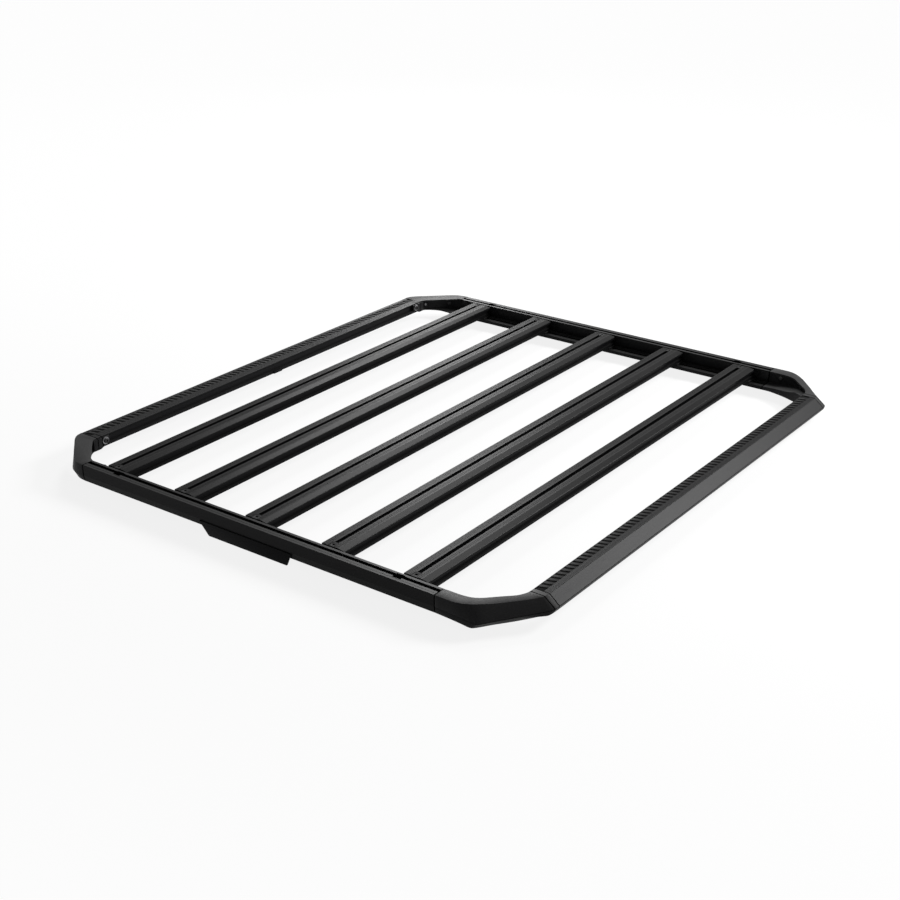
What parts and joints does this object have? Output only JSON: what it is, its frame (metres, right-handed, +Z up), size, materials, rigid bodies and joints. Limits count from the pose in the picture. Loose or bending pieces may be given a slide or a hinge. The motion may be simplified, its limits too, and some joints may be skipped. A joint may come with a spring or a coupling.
{
  "type": "flat platform roof rack",
  "caption": "Flat platform roof rack: extruded side and end rails joined by cast corners, with slotted cross slats, tread strips and hanging side plates.",
  "frame": {"origin": "middle of the footprint, level with the lowest edge of the side plates", "axes": "+X towards the front of the vehicle, along the side rails; +Y to its left, along the slats; +Z up"},
  "size_m": [1.336, 1.497, 0.058],
  "materials": {
    "side_rails": "black anodised extrusion, satin",
    "end_rails": "black anodised extrusion, satin",
    "slats": "black anodised extrusion with fine ribs",
    "corners": "cast, fine-textured black powder coat",
    "tread": "moulded rubber",
    "side_plates": "moulded black plastic",
    "plugs": "moulded black plastic",
    "feet": "black e-coated steel",
    "bolts": "black-coated steel, with a zinc-plated washer on each tongue"
  },
  "bodies": {
    "root": {"side_rail_left": "side_rails", "side_rail_right": "side_rails", "front_rail": "end_rails", "rear_rail": "end_rails", "corner_front_left": "corners", "corner_front_right": "corners", "corner_rear_left": "corners", "corner_rear_right": "corners", "corner_front_left_bolts": "bolts", "corner_front_right_bolts": "bolts", "corner_rear_left_bolts": "bolts", "corner_rear_right_bolts": "bolts", "joint_plate_front_left": "corners", "joint_plate_front_right": "corners", "joint_plate_rear_left": "corners", "joint_plate_rear_right": "corners", "slat_1": "slats", "slat_2": "slats", "slat_3": "slats", "slat_4": "slats", "slat_5": "slats", "slat_1_plugs": "plugs", "slat_2_plugs": "plugs", "slat_3_plugs": "plugs", "slat_4_plugs": "plugs", "slat_5_plugs": "plugs", "slat_1_feet": "feet", "slat_2_feet": "feet", "slat_3_feet": "feet", "slat_4_feet": "feet", "slat_5_feet": "feet", "front_tread": "tread", "rear_tread": "tread", "side_plate_left": "side_plates", "side_plate_right": "side_plates", "rear_rail_stop": "plugs"}
  },
  "joints": []
}
